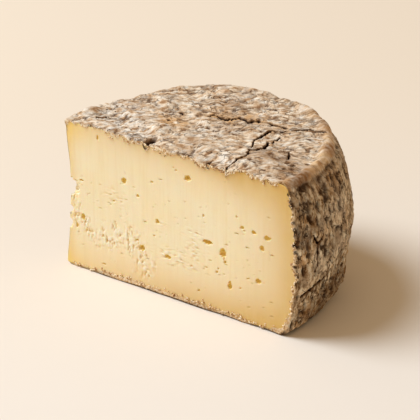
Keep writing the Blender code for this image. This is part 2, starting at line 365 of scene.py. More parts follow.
def side_pit(u, z):
    """Depth in millimetres of the listed pits at a place of the side."""
    depth = 0.0
    u += 1.2 * grain(u / 3.5, z / 3.5, 77)
    z += 1.4 * grain(u / 3.5, z / 3.5, 87)
    for around_at, up, width, tall, deep in SIDE_PITS:
        off = ((u - around_at) * 2 / width) ** 2 + ((z - up) * 2 / tall) ** 2
        if off < 1:
            depth = max(depth, deep * (1 - off) ** 0.7)
    return depth


def rim_place(point, angle):
    """Millimetres inside the top's rim and below the top."""
    inside = (rim_radius(angle) - math.hypot(point.x, point.y)) / MM
    return inside, (HEIGHT + RISE_TO_BACK * point.y - point.z) / MM


def rolled_rim(point, angle):
    """The raised rim round the top, and the groove under it, in millimetres."""
    inside, below = rim_place(point, angle)
    if inside > 12 or below > 16:
        return 0.0, 0.0
    full = 0.3 + 0.7 * ease(-0.5, 0.4, math.cos(angle))
    x, y = point.x / MM, point.y / MM
    rim = RIM_HEIGHT * hump(inside, RIM_INSIDE, 2.6) * hump(max(1.2, below), 1.2, 1.6)
    rim *= (1 + 0.35 * grain(x / 6, y / 6, below / 5)) * (1 + 0.35 * grain(angle * 7, below / 5, 3))
    groove = GROOVE_DEPTH * hump(below, GROOVE_BELOW, 2.0) + 0.5 * hump(inside, 8.5, 2.5) * hump(below, 0, 3)
    groove *= clamp(0.9 + 1.8 * grain(angle * 9, 4, below / 5), 0.0, 1.7)
    return full * rim, full * groove


def swell(point):
    """Broad swells and dips in millimetres: of the top, the thin end's foot and the heel."""
    x, y, z = point / MM
    top = sum(
        size * hump(x, along, wide) * hump(y, behind, deep) for size, along, wide, behind, deep in TOP_SWELLS)
    foot = THIN_FOOT_SWELL * hump(y, 0, 14) * ease(-70, -80, x) * ease(62, 40, z)
    angle = math.atan2(y, x)
    heel = sum(
        size * hump(angle, turn, wide) * hump(z, up, tall) for size, turn, wide, up, tall in HEEL_SWELLS)
    return top * ease(80, 104, z) + foot + heel


def scoop(x, y):
    """The smooth hollow that is pressed into the top at the cut's edge, from 0 to 1."""
    along = (x - SCOOP_AT[0] - 0.12 * y) / SCOOP_REACH[0]
    return clamp(1.15 - along**2 - ((y - SCOOP_AT[1]) / SCOOP_REACH[1]) ** 2)


def nearest_on(path, u, v):
    """Distance from a point to a path, and the share of the way along it."""
    best, share = 1e9, 0.0
    stretches = len(path) - 1
    for index in range(stretches):
        (ax, ay), (bx, by) = path[index], path[index + 1]
        dx, dy = bx - ax, by - ay
        part = clamp(((u - ax) * dx + (v - ay) * dy) / (dx * dx + dy * dy))
        distance = math.hypot(u - ax - part * dx, v - ay - part * dy)
        if distance < best:
            best, share = distance, (index + part) / stretches
    return best, share


def in_run(x, y):
    """A place of the top for its cracks, drawn out along the wrinkles: cracks across them stay narrow."""
    along, across = across_run(x, y)
    return along * CRACK_NARROWING, across


def crack_at(cracks, u, v):
    """Depth share of the deepest crack at a point, and how near its edge is, both from 0 to 1."""
    u += 0.6 * grain(u / 6, v / 6, 3) + 0.9 * grain(u / 2.4, v / 2.4, 8)
    v += 0.6 * grain(u / 6, v / 6, 13) + 0.9 * grain(u / 2.4, v / 2.4, 18)
    depth = near = 0.0
    for width, path in cracks:
        if not min(p[0] for p in path) - CRACK_REACH < u < max(p[0] for p in path) + CRACK_REACH:
            continue
        distance, share = nearest_on(path, u, v)
        open_by = (0.75 + 0.25 * math.sin(math.pi * share)) * (1 + 0.6 * grain(u / 3, v / 3, 27))
        depth = max(depth, clamp(open_by * 1.3) * clamp(2.8 - 2 * distance / (width * open_by / 2)))
        near = max(near, clamp(1 - distance / CRACK_REACH))
    return clamp(depth), near


TOP_CRACKS_IN_RUN = tuple((width, tuple(in_run(*corner) for corner in path)) for width, path in TOP_CRACKS)


def around(point):
    """Millimetres round from the full end on a 100 mm circle, and up, for a point of the side."""
    return math.atan2(point.y, point.x) * 100, point.z / MM


def bite_depth(place, inward, middle, radii):
    """How far a place inside a bite has to move along inward to reach the bite's rough wall."""
    off = Vector((a / r for a, r in zip(place - middle, radii)))
    rough = 1 + BITE_ROUGHNESS * noise.noise(place / BITE_GRAIN)
    inside = off.length_squared - rough
    if inside >= 0:
        return 0.0
    way = Vector((a / r for a, r in zip(inward, radii)))
    run, square = off.dot(way), way.length_squared
    return (math.sqrt(run * run - square * inside) - run) / square


def chip_depth(place):
    """The move that chips a place of the cut's edge away, in millimetres."""
    for along, height, width, tall, deep in CHIPS:
        if abs(place.x - along) > width or abs(place.z - height) > tall or place.y > deep:
            continue
        inward = Vector((1, 1, 0)) if along < -80 else Vector((0, 1, -0.6 if height > 50 else 0.3))
        inward.normalize()
        move = bite_depth(place, inward, Vector((along, 0, height)), (width / 2, deep / 2, tall / 2))
        if move:
            return inward * move
    return None


def write(vert, masks, **values):
    """Writes a corner's mask values."""
    for name, value in values.items():
        vert[masks[name]] = value


# Making the rind

def rind_profile():
    """Half section of the unit drum: top, shoulder, side, foot and base."""
    quarter = math.pi / 2
    shoulder = (SHOULDER / WHEEL_RADIUS, SHOULDER / HEIGHT)
    foot = (FOOT / WHEEL_RADIUS, FOOT / HEIGHT)
    points = [((1 - shoulder[0]) * ring / TOP_RINGS, 1.0) for ring in range(TOP_RINGS)]
    for step in range(SHOULDER_STEPS + 1):
        turn = quarter * step / SHOULDER_STEPS
        points.append((1 - shoulder[0] * (1 - math.sin(turn)), 1 - shoulder[1] * (1 - math.cos(turn))))
    side = 1 - shoulder[1] - foot[1]
    points += [(1.0, foot[1] + side * (1 - row / SIDE_ROWS)) for row in range(1, SIDE_ROWS)]
    for step in range(FOOT_STEPS + 1):
        turn = quarter * step / FOOT_STEPS
        points.append((1 - foot[0] * (1 - math.cos(turn)), foot[1] * (1 - math.sin(turn))))
    points += [((1 - foot[0]) * (1 - ring / BASE_RINGS), 0.0) for ring in range(1, BASE_RINGS + 1)]
    return points


def spun_skin(bm):
    """The unit half drum's skin, open at the cut."""
    corners = [bm.verts.new((reach, 0, height)) for reach, height in rind_profile()]
    edges = [bm.edges.new(pair) for pair in zip(corners, corners[1:])]
    bmesh.ops.spin(bm, geom=corners + edges, cent=(0, 0, 0), axis=(0, 0, 1), angle=math.pi, steps=SPOKES)
    bmesh.ops.remove_doubles(bm, verts=bm.verts, dist=TINY)


def new_ring(bm, edges):
    """Extrudes a loop of edges and gives each new corner with the one it came from, and the new edges."""
    made = bmesh.ops.extrude_edge_only(bm, edges=edges)["geom"]
    corners = [item for item in made if isinstance(item, bmesh.types.BMVert)]
    fresh = set(corners)
    came_from = {}
    for corner in corners:
        for edge in corner.link_edges:
            other = edge.other_vert(corner)
            if other not in fresh:
                came_from[corner] = other
    rim = [
        item for item in made
        if isinstance(item, bmesh.types.BMEdge) and all(corner in fresh for corner in item.verts)
    ]
    return came_from, rim


def lip_reach(x, z):
    """How far across its full width the rind's cut face shows, from 0.12 to 1."""
    scallop = 0.75 * grain(x / 8.0, 2.2, z / 8.0) + 0.4 * grain(x / 3.2, 7.2, z / 3.2)
    foot = ease(20, 6, z) * (-0.08 + 0.42 * ease(-66, -52, x) * (0.7 + 1.3 * grain(x / 16, 3, 7)))
    return clamp(0.5 + scallop + foot, 0.12, 1.0)


def add_lip(bm, lip):
    """The rind's cut face: rows that step in from the skin. Gives each lip corner's skin corner."""
    rim = [edge for edge in bm.edges if edge.is_boundary]
    skin_of = {corner: corner for edge in rim for corner in edge.verts}
    for row in range(1, LIP_ROWS + 1):
        came_from, rim = new_ring(bm, rim)
        for corner, before in came_from.items():
            step = LIP_WIDTH / LIP_ROWS
            thin = 1 - (1 - LIP_THIN_END) * clamp(-corner.co.x)
            corner.co.x *= 1 - step * thin / WHEEL_RADIUS
            corner.co.z = 0.5 + (corner.co.z - 0.5) * (1 - 2 * step / HEIGHT)
            corner[lip] = row / LIP_ROWS
            skin_of[corner] = skin_of[before]
    return skin_of, rim


def plug(bm, rim, depth, taper):
    """Closes a rim with a ring drawn in behind it and a flat end. Gives the ring's corners."""
    came_from, rim = new_ring(bm, rim)
    for corner in came_from:
        corner.co.x *= taper
        corner.co.y = depth
        corner.co.z = HEIGHT / 2 + (corner.co.z - HEIGHT / 2) * taper
    bmesh.ops.holes_fill(bm, edges=rim)
    return set(came_from)


def subdivide_at_cracks(bm):
    """Finer cells where the skin is cracked."""
    near = []
    for edge in bm.edges:
        middle = shaped((edge.verts[0].co + edge.verts[1].co) / 2)
        if middle.y < TINY:
            continue
        if middle.z > 0.94 * HEIGHT:
            cracks, place = TOP_CRACKS_IN_RUN, in_run(middle.x / MM, middle.y / MM)
        elif middle.x > 0.5 * WHEEL_RADIUS:
            cracks, place = SIDE_CRACKS, around(middle)
        else:
            continue
        if crack_at(cracks, *place)[1] > 0.45:
            near.append(edge)
    bmesh.ops.subdivide_edges(bm, edges=near, cuts=1, use_grid_fill=True)


def textured(point, outward):
    """Fine height in metres, hollowness, crack depth and crack nearness at a point of the skin."""
    place = point / MM
    upward = ease(0.25, 0.8, outward.z)
    height = hollow = crack = near = 0.0
    if upward > 0:
        top_height, top_hollow = top_texture(place)
        height += upward * top_height
        hollow += upward * top_hollow
        crack, near = crack_at(TOP_CRACKS_IN_RUN, *in_run(place.x, place.y))
        pressed = scoop(place.x, place.y)
        height = ((1 - pressed) * height - SCOOP_DEPTH * pressed * upward) * (1 - 0.5 * near)
        hollow *= (1 - pressed) * (1 - 0.75 * near)
        # Painted shade: pits and the deep side of the pressed scoop are darkened like cracks.
        crack = max(crack, top_pit(place), 0.75 * pressed * ease(-15, -19.5, place.x - 0.12 * place.y))
    if upward < 1 and outward.z > -0.9:
        side_height, side_hollow = side_texture(place)
        height += (1 - upward) * side_height
        hollow += (1 - upward) * side_hollow
        if crack == 0 and point.x > 0.5 * WHEEL_RADIUS:
            u, z = around(point)
            pit = side_pit(u, z)
            height -= pit
            hollow = clamp(hollow + pit)
            if z < 90:
                crack, near = crack_at(SIDE_CRACKS, u, z)
                height *= 1 - 0.6 * near
                hollow *= 1 - 0.8 * near
    if point.z > 0.8 * HEIGHT:
        rim, groove = rolled_rim(point, math.atan2(point.y, point.x))
        rolled = rolled_at(point)
        height = height * (1 - 0.6 * rolled) + rim - groove
        # Painted shade in the groove under the rolled rim: the groove adds to the hollowness that is
        # darkened.
        hollow = clamp(hollow * (1 - 0.7 * rolled) + 0.75 * groove * ease(0.55, 0.2, outward.z))
    corner = clamp(1 - abs(outward.z - 0.55) / 0.45)
    height *= (1 - 0.4 * corner) * (1 - 0.95 * pale_at(place))
    height = (height + swell(point)) * clamp((point.z - FLAT_BASE / 2) / BASE_BLEND * 1.6)
    # Painted shade: the lowest three millimetres of the rind, by the floor, count as hollow and are darkened.
    hollow = max(hollow, ease(3.0, 0.6, place.z) * (outward.z > -0.9))
    return (height - CRACK_DEPTH * crack) * MM, hollow, crack, near


def in_patches(patches, u, v):
    """How far a place lies in any of the patches, from 0 to 1."""
    return clamp(sum(hump(u, x, size) * hump(v, y, size) for x, y, size in patches))


def bloom_and_shade(point, upward):
    """Whiteness of the bloom, and how brown the rind is, from 0 to 1."""
    place = point / MM
    u, z = around(point)
    bloom = upward * (in_patches(TOP_BLOOM, place.x, place.y) + 0.6 * grain(place.x / 12, place.y / 7, 61))
    bloom += (1 - upward) * (in_patches(SIDE_BLOOM, u, z) + 0.6 * grain(place.x / 9, place.y / 9, z / 12))
    shade = upward * (in_patches(TOP_SHADE, place.x, place.y) + 0.5 * grain(place.x / 11, place.y / 8, 67))
    shade += (1 - upward) * (in_patches(SIDE_SHADE, u, z) + 0.7 * grain(place.x / 8, place.y / 8, z / 10 + 5))
    return clamp(bloom), clamp(shade)


def ochre_at(place, near):
    """Ochre staining along the wide crack and in two hollows of the top."""
    stain = sum(
        hump(place.x, x, size) * hump(place.y, y, size / OCHRE_FLATNESS) for x, y, size in OCHRE_PATCHES)
    wide = 1.8 * near * ease(-24, -6, place.x) * ease(54, 30, place.x) if place.y > 56 else 0.3 * near
    return clamp(0.9 * stain * (0.7 + grain(place.x / 5, place.y / 3, 71)) + wide)


def pale_at(place):
    """How far the rind fades into the paste, at the thin end's cut edge."""
    return ease(-62, -78, place.x) * ease(14, 4, place.y) * ease(103, 96, place.z)


def painted_foot_shade(place):
    """Painted contact shade: the dark, uneven line along the foot where the rind meets the floor, from 0 to
    1.
    """
    up = 0.9 + 2.0 * grain(place.x / 8, place.y / 8, 41) + 0.9 * grain(place.x / 2.6, place.y / 2.6, 47)
    up += 1.8 * ease(0, 6, place.y)
    return ease(up + 0.5, up - 0.3, place.z)


def rolled_at(point):
    """Where the raised rim round the top is rubbed to tan, from 0 to 1."""
    if point.z < 0.85 * HEIGHT:
        return 0.0
    inside, below = rim_place(point, math.atan2(point.y, point.x))
    edge = 2.2 * grain(point.x / MM / 7, point.y / MM / 7, 12)
    full = 0.2 + 0.8 * ease(0.05, 0.55, point.x / point.length)
    return full * ease(8.5, 3.5, inside + edge) * ease(5.0, 2.0, below + 0.6 * edge)


def craggy_rind():
    """The rind: skin, lip and pocket, with all its relief and masks."""
    bm = bmesh.new()
    masks = {name: bm.verts.layers.float.new(name) for name in RIND_MASKS}
    run = bm.verts.layers.float_vector.new("run")
    rise = bm.verts.layers.float_vector.new("rise")
    spun_skin(bm)
    subdivide_at_cracks(bm)
    skin_of, rim = add_lip(bm, masks["lip"])
    for vert in bm.verts:
        vert.co = shaped(vert.co)
    pocket = plug(bm, rim, POCKET_DEPTH, POCKET_TAPER)
    bmesh.ops.recalc_face_normals(bm, faces=bm.faces)
    bm.normal_update()
    moves = {}
    for vert in bm.verts:
        if vert in pocket or vert[masks["lip"]] > 0:
            continue
        outward = vert.normal.copy()
        if vert.co.y < TINY:
            outward.y = 0
            outward.normalize()
        height, hollow, crack, near = textured(vert.co, outward)
        place = vert.co / MM
        upward = ease(0.15, 0.85, outward.z + 0.25 * grain(place.x / 6, place.y / 6, place.z / 6))
        bloom, shade = bloom_and_shade(vert.co, upward)
        write(
            vert, masks, top=upward, hollow=hollow, crack=crack, bloom=bloom, shade=shade,
            ochre=ochre_at(place, near), pale=pale_at(place), rolled=rolled_at(vert.co),
            foot=painted_foot_shade(place))
        vert[run] = Vector((*top_run(place), 0))
        vert[rise] = side_run(place)
        moves[vert] = outward * (relief(vert.co, outward) + height)
    for vert in bm.verts:
        depth = vert[masks["lip"]]
        if vert not in pocket and depth > 0:
            skin = skin_of[vert]
            for name in ("top", "hollow", "bloom", "shade", "ochre", "pale", "rolled"):
                vert[masks[name]] = skin[masks[name]]
            vert[run], vert[rise] = skin[run], skin[rise]
            place = vert.co / MM
            edge = skin.co / MM
            pale = skin[masks["pale"]]
            # Painted contact shade along the foot, faded where the rind is pale.
            vert[masks["foot"]] = painted_foot_shade(place) * (1 - 0.8 * pale)
            across = depth / lip_reach(edge.x, edge.z)
            crumb = noise.fractal(Vector((place.x / 2.6, depth * 3.0, place.z / 2.6)), 0.9, 2.0, 3)
            proud = (0.6 + 0.8 * crumb) * math.sin(math.pi * clamp(0.15 + 0.8 * across)) * (1 - pale)
            tuck = LIP_TUCK * max(min(1.0, across**3), pale * min(1.0, 4 * depth)) - proud * MM
            moves[vert] = moves[skin] + Vector((0, tuck, 0))
    for vert, move in moves.items():
        if vert.co.y < TINY and vert[masks["lip"]] == 0:
            x, z = vert.co.x / MM, vert.co.z / MM
            jag = Vector((grain(x / 2.8, z / 2.8, 26), 0, grain(x / 2.8, z / 2.8, 36) * ease(1, 5, z)))
            out = CUT_OUT * (0.35 * grain(x / 1.7, z / 1.7, 6) + 0.5 * grain(x / 5, z / 5, 16))
            move = move + (out + 0.6 * jag) * (1 - vert[masks["pale"]]) * MM
        vert.co += move
        vert.co.z = max(vert.co.z, 0.0)
        chip = chip_depth(vert.co / MM) if vert.co.y < 9 * MM else None
        if chip:
            vert.co += chip * MM
            # Painted shade in the chips of the rind's edge.
            vert[masks["hollow"]] = max(vert[masks["hollow"]], 0.7)
            if vert.co.x < -60 * MM and vert.co.z < 90 * MM:
                vert[masks["pale"]] = 1.0
    bmesh.ops.recalc_face_normals(bm, faces=bm.faces)
    return bm


# Making the paste

def corner_share(share, power):
    """How far a rounded corner of the cut draws its edge in, from 0 to 1, at a share of its height."""
    if share <= 0:
        return 0.0
    return 1 - (1 - min(1.0, share) ** power) ** (1 / power)


def cut_reach(angle, share):
    """From the middle of the cut to its edge at one end, rounded at the shoulder and foot."""
    power = SHOULDER_SQUARENESS + THIN_END_SQUARENESS * max(0.0, -math.cos(angle))
    shoulder = corner_share(1 - (1 - share) * HEIGHT / SHOULDER, power)
    foot = corner_share(1 - share * HEIGHT / FOOT, 2)
    return rim_radius(angle) + belly(angle, share) - shoulder * SHOULDER - foot * FOOT


def tear_region(x, z):
    """Where the knife tore the paste into upright strokes, from 0 to 1."""
    path = ((-83, 44), (-76, 36), (-62, 31), (-46, 31), (-33, 32), (-24, 27), (-21, 17))
    distance, share = nearest_on(path, x, z)
    half = 8.5 + 5 * grain(x / 9, z / 9, 4)
    return clamp(1.5 - distance / half) * clamp(0.6 + 1.6 * grain(x / 6, z / 8, 14))


def crossing_tears(x, z):
    """Where the paste is torn in short level strokes, from 0 to 1."""
    spots = ((21, 51, 8, 6), (3, 30, 13, 6), (24, 39, 8, 4), (15, 30, 8, 5), (-7, 50, 5, 4), (-44, 60, 8, 5))
    near = sum(hump(x, a, wide) * hump(z, b, tall) for a, b, wide, tall in spots)
    return clamp(near) * clamp(0.6 + 1.6 * grain(x / 6, z / 5, 24))


def bite_buckets(bites, cell=6.0):
    """Eyes sorted into the square cells that they reach."""
    buckets = {}
    for x, z, width, tall in bites:
        reach = max(width, tall) * 0.8
        for column in range(math.floor((x - reach) / cell), math.floor((x + reach) / cell) + 1):
            for row in range(math.floor((z - reach) / cell), math.floor((z + reach) / cell) + 1):
                buckets.setdefault((column, row), []).append((x, z, width, tall))
    return buckets, cell


def pin_holes():
    """Scattered pin holes, more of them lower down and towards the full end."""
    dice = random.Random(11)
    holes = []
    while len(holes) < PIN_HOLES:
        x, z = dice.uniform(-78, 84), dice.uniform(8, 98)
        if dice.random() > 0.3 + 0.45 * (1 - abs(z - 45) / 50) + 0.9 * grain(x / 15, z / 15, 3):
            continue
        width = dice.uniform(*PIN_HOLE_SIZE)
        level = dice.random() < PIN_HOLES_LEVEL
        wide = width * dice.uniform(1.6, 3.4) if level else width
        holes.append((x, z, wide, 0.8 * width if level else width))
    return holes


def eye_depth(buckets, x, z):
    """Depth in millimetres of the eye at a point of the cut, if there is one."""
    table, cell = buckets
    place = Vector((x, 0, z))
    depth = 0.0
    for along, height, width, tall in table.get((math.floor(x / cell), math.floor(z / cell)), ()):
        radii = (width / 2, EYE_DEPTH * (width + tall) / 2, tall / 2)
        depth = max(depth, bite_depth(place, -CUT_OUT, Vector((along, 0, height)), radii))
    return depth


def skin_nearness(x, z, right, left):
    """How far the paste has darkened towards the rind, most at the full end."""
    full = clamp((x + 90) / 180)
    inside, down = max(0.0, right - x), max(0.0, HEIGHT / MM - z)
    by_right = 0.74 * hump(inside, 0, 12) + 0.34 * hump(inside, 0, 32)
    by_top = (0.5 * math.exp(-((down / 8) ** 1.5)) + 0.24 * hump(down, 0, 21)) * (0.5 + 0.55 * full)
    by_top += 0.75 * hump(x, 66, 26) * hump(down, 0, 14)
    by_foot = (0.2 + 0.75 * full) * math.exp(-((z / 12) ** 1.5)) + 0.3 * full * hump(z, 0, 26)
    by_left = 0.15 * hump(x, left, 4.0)
    near = by_right + by_top + by_foot + by_left
    return 0.98 * (1 - math.exp(-1.5 * near))


def corner_glow(x, z, left):
    """The deep yellow at the thin end's two corners and down its edge."""
    top = hump(x, left, 15) * hump(z, HEIGHT / MM, 15)
    foot = 0.8 * hump(x, left, 17) * hump(z, 0, 11)
    return clamp(top + foot + 0.35 * hump(x, left, 5))


def cut_paste():
    """The paste: a finely divided cut face with its eyes and tears, and a plug behind it."""
    bm = bmesh.new()
    masks = {name: bm.verts.layers.float.new(name) for name in PASTE_MASKS}
    bmesh.ops.create_grid(bm, x_segments=PASTE_COLUMNS, y_segments=PASTE_ROWS, size=0.5)
    eyes = EYES + SMALL_EYES
    buckets = bite_buckets(eyes + tuple(pin_holes()))
    margin = PASTE_MARGIN / HEIGHT
    for vert in bm.verts:
        across, up = vert.co.x + 0.5, vert.co.y + 0.5
        share = margin + up * (1 - 2 * margin)
        right = cut_reach(0, share) - PASTE_MARGIN
        left = PASTE_THIN_MARGIN - cut_reach(math.pi, share)
        vert.co = Vector((left + (right - left) * across, 0, share * HEIGHT))
    near_eyes = [
        edge for edge in bm.edges
        if any(abs(edge.verts[0].co.x / MM - x) < w * 0.75 and abs(edge.verts[0].co.z / MM - z) < t * 0.75
               for x, z, w, t in eyes)
    ]
    bmesh.ops.subdivide_edges(bm, edges=near_eyes, cuts=1, use_grid_fill=True)
    rim = [edge for edge in bm.edges if edge.is_boundary]
    front = list(bm.verts)
    plug(bm, rim, PASTE_DEPTH, PASTE_TAPER)
    for vert in front:
        cut_surface(vert, masks, buckets)
    bmesh.ops.recalc_face_normals(bm, faces=bm.faces)
    return bm


def cut_surface(vert, masks, buckets):
    """Gives one point of the cut face its depth and masks."""
    x, z = vert.co.x / MM, vert.co.z / MM
    share = vert.co.z / HEIGHT
    right, left = cut_reach(0, share) / MM, -cut_reach(math.pi, share) / MM
    eye = eye_depth(buckets, x, z)
    torn = tear_region(x, z)
    stroke = 0.6 * grain(x / 1.5 + 0.4 * grain(x / 4, z / 4, 2), 3.1, z / 4.5)
    stroke += 0.6 * grain(x / 1.1, 5.5, z / 1.7)
    crossing = crossing_tears(x, z)
    level = grain(x / 3.4, 8.2, z / 1.1 + 0.5 * grain(x / 6, z / 6, 5))
    # Torn gaps sink in and are painted golden as painted shade; the ridges between them stand out and are
    # painted near white as painted highlight.
    tear = torn * clamp(3.2 * stroke - 0.3) + crossing * clamp(2.6 * level - 0.3)
    ridge = torn * clamp(-2.6 * stroke) + crossing * clamp(-2.2 * level - 0.2)
    sag = 0.22 * grain(x / 24, z / 30, 1.3)
    sag += 0.018 * noise.fractal(Vector((x / 6.3, z / 42, 6.6)), 0.8, 2.1, 3)
    depth = PASTE_RECESS / MM + sag + eye + 0.85 * tear - 0.3 * ridge
    tint = 0.5 + 0.5 * noise.fractal(Vector((x / 3.4, z / 45, 3.3)), 0.8, 2.0, 4)
    # The eye mask grows with the eye's depth; the finish paints it as shade inside the eyes.
    write(
        vert, masks, eye=clamp(eye / 1.6), tear=clamp(tear), ridge=clamp(ridge),
        skin=skin_nearness(x, z, right, left), glow=corner_glow(x, z, left), tint=tint)
    top = Vector((vert.co.x, 0, HEIGHT))
    end = Vector(((right if x > 0 else left) * MM, 0, vert.co.z))
    vert.co.z += (relief(top, Vector((0, 0, 1))) - 3.4 * MM * scoop(x, 2.5)) * ease(0.8, 1.0, share)
    aside = Vector((math.copysign(1.0, x), 0, 0))
    outwards = (relief(end, aside) + swell(end) * MM) * ease(0.8, 1.0, abs(x) / (right if x > 0 else -left))
    vert.co.x += aside.x * outwards
    vert.co.y = depth * MM
    chip = chip_depth(vert.co / MM)
    if chip:
        vert.co += chip * MM
        # Painted highlight on the paste's chipped faces.
        vert[masks["ridge"]] = 0.25


# Making the crumbs

def lip_place(dice):
    """A place near the inner edge of the rind's cut lip: along the top, the full end or the foot."""
    side = dice.random()
    if side < 0.5:
        x = dice.triangular(-82, 90, 60)
        point = Vector((x * MM, 0, HEIGHT))
        inward = LIP_WIDTH * lip_reach(x, HEIGHT / MM) * dice.triangular(0.35, 1.15, 0.9)
        return point + Vector((0, 0, relief(point, Vector((0, 0, 1))) - inward))
    if side < 0.7:
        share = dice.uniform(0.05, 0.95)
        point = Vector((cut_reach(0, share), 0, share * HEIGHT))
        inward = LIP_WIDTH * lip_reach(point.x / MM, point.z / MM) * dice.triangular(0.3, 1.15, 0.9)
        return point + Vector((relief(point, Vector((1, 0, 0))) - inward, 0, 0))
    x = dice.uniform(-82, 86)
    return Vector((x * MM, 0, 0.7 * MM + LIP_WIDTH * lip_reach(x, 0) * dice.triangular(0.1, 1.1, 0.8)))


def crumbs():
    """Crumbs stuck along the rind's cut lip."""
    bm = bmesh.new()
    dice = random.Random(5)
    for number in range(CRUMBS):
        size = dice.triangular(*CRUMB_SIZES) * MM
        place = lip_place(dice) + CUT_OUT * dice.uniform(0.0, 0.5) * MM
        spin = Matrix.Rotation(dice.uniform(0, math.tau), 4, Vector((dice.gauss(0, 1), dice.gauss(0, 1), 1)))
        sizes = (size * dice.uniform(0.8, 1.7), size * 0.8, size * dice.uniform(0.6, 1.1), 1)
        for vert in bmesh.ops.create_icosphere(bm, subdivisions=1, radius=1)["verts"]:
            vert.co *= 1 + 0.35 * noise.noise(vert.co * 1.3 + Vector((number, 0, 0)))
            vert.co = place + (spin @ Matrix.Diagonal(sizes) @ vert.co)
    bmesh.ops.recalc_face_normals(bm, faces=bm.faces)
    return bm


def placed(name, data):
    """A new object of the scene."""
    made = bpy.data.objects.new(name, data)
    bpy.context.scene.collection.objects.link(made)
    return made


def shown(name, bm, finish):
    """The finished mesh in the part's frame, smooth, with its finish."""
    bmesh.ops.translate(bm, verts=bm.verts, vec=(0, CUT_Y, 0))
    mesh = bpy.data.meshes.new(name)
    bm.to_mesh(mesh)
    bm.free()
    mesh.shade_smooth()
    mesh.materials.append(finish)
    return placed(name, mesh)


# Finishes: sizes of the top's wrinkles and the side's ribs in millimetres, and of the knife's streaks
WRINKLE_SIZES = (6.2, 3.6, 3.0)
RIB_SIZES = (2.8, 2.8, 6.0)
STREAK_SIZES = (1.9 * MM, 9 * MM, 40 * MM)
FLOOR_TURN = math.radians(-52)
SPECKLE_SOCKETS = (
    ("Place", "INPUT", "NodeSocketVector"), ("Size mm", "INPUT", "NodeSocketFloat"),
    ("Specks from", "INPUT", "NodeSocketFloat"), ("Grain", "OUTPUT", "NodeSocketFloat"),
    ("Specks", "OUTPUT", "NodeSocketFloat"),
)


def tone(red, green, blue):
    """A colour as seen on a screen, 0 to 255, as the linear values that a shader takes."""
    shares = (red / 255, green / 255, blue / 255)
    linear = [share / 12.92 if share <= 0.04 else ((share + 0.055) / 1.055) ** 2.4 for share in shares]
    return (*linear, 1.0)


def add(tree, kind, inputs=None, **settings):
    """A new node with its settings, values and links."""
    made = tree.nodes.new(kind)
    for key, value in settings.items():
        setattr(made, key, value)
    for key, value in (inputs or {}).items():
        if isinstance(value, bpy.types.NodeSocket):
            tree.links.new(value, made.inputs[key])
        else:
            made.inputs[key].default_value = value
    return made


def mask(tree, name, output="Fac"):
    return add(tree, "ShaderNodeAttribute", attribute_name=name).outputs[output]


def mixed(tree, share, first, second):
    """Colour blend of two colours or sockets."""
    return add(tree, "ShaderNodeMix", {0: share, 6: first, 7: second}, data_type="RGBA").outputs[2]


def maths(tree, operation, first, second=0.0, clamped=False):
    made = add(tree, "ShaderNodeMath", {0: first, 1: second}, operation=operation, use_clamp=clamped)
    return made.outputs[0]


def stretch(tree, value, low, high, to_low=0.0, to_high=1.0):
    """Maps a range of a value onto another range, smoothly."""
    inputs = {"Value": value, "From Min": low, "From Max": high, "To Min": to_low, "To Max": to_high}
    return add(tree, "ShaderNodeMapRange", inputs, interpolation_type="SMOOTHSTEP").outputs[0]


def ramp(tree, share, *stops):
    """A colour ramp through stops of place, red, green and blue."""
    made = add(tree, "ShaderNodeValToRGB", {"Fac": share})
    steps = made.color_ramp.elements
    first, *between, last = [(place, tone(*colour)) for place, *colour in stops]
    steps[0].position, steps[0].color = first
    steps[1].position, steps[1].color = last
    for place, colour in between:
        steps.new(place).color = colour
    return made.outputs["Color"]


def layered(tree, colour, *layers):
    """Lays tones over a colour, each by its mask times its strength."""
    for share, strength, over in layers:
        if strength < 1:
            share = maths(tree, "MULTIPLY", share, strength)
        colour = mixed(tree, share, colour, tone(*over))
    return colour


def weighed(tree, *parts):
    """The sum of values times their weights."""
    first, *others = [maths(tree, "MULTIPLY", value, weight) for value, weight in parts]
    for other in others:
        first = maths(tree, "ADD", first, other)
    return first


def dress(tree, shader, colour, rough, heights, strength, distance):
    """Joins colour, roughness and fine relief to the shader."""
    bump = add(tree, "ShaderNodeBump", {"Height": heights, "Strength": strength, "Distance": distance})
    tree.links.new(colour, shader.inputs["Base Color"])
    tree.links.new(rough, shader.inputs["Roughness"])
    tree.links.new(bump.outputs[0], shader.inputs["Normal"])


def speckle_group():
    """Fine grain at a given size in millimetres: a soft grain, and sharp specks taken from it."""
    group = bpy.data.node_groups.new("speckle", "ShaderNodeTree")
    for name, way, kind in SPECKLE_SOCKETS:
        group.interface.new_socket(name, in_out=way, socket_type=kind)
    inside = group.nodes.new("NodeGroupInput").outputs
    scale = maths(group, "DIVIDE", 1000.0, inside["Size mm"])
    fine = soft_noise(group, inside["Place"], 5.0, 0.62, scale)
    until = maths(group, "ADD", inside["Specks from"], 0.07)
    specks = stretch(group, fine, inside["Specks from"], until)
    outside = group.nodes.new("NodeGroupOutput").inputs
    group.links.new(fine, outside["Grain"])
    group.links.new(specks, outside["Specks"])
    return group


def speckle(tree, group, place, size, specks_from=0.6):
    made = add(tree, "ShaderNodeGroup", node_tree=group)
    tree.links.new(place, made.inputs["Place"])
    made.inputs["Size mm"].default_value = size
    made.inputs["Specks from"].default_value = specks_from
    return made.outputs["Grain"], made.outputs["Specks"]


def new_finish(name, **shader_values):
    """A material with its shader's plain values set."""
    finish = bpy.data.materials.new(name)
    finish.use_nodes = True
    tree = finish.node_tree
    shader = tree.nodes["Principled BSDF"]
    for key, value in shader_values.items():
        shader.inputs[key.replace("_", " ")].default_value = value
    place = add(tree, "ShaderNodeTexCoord").outputs["Object"]
    return finish, tree, shader, place


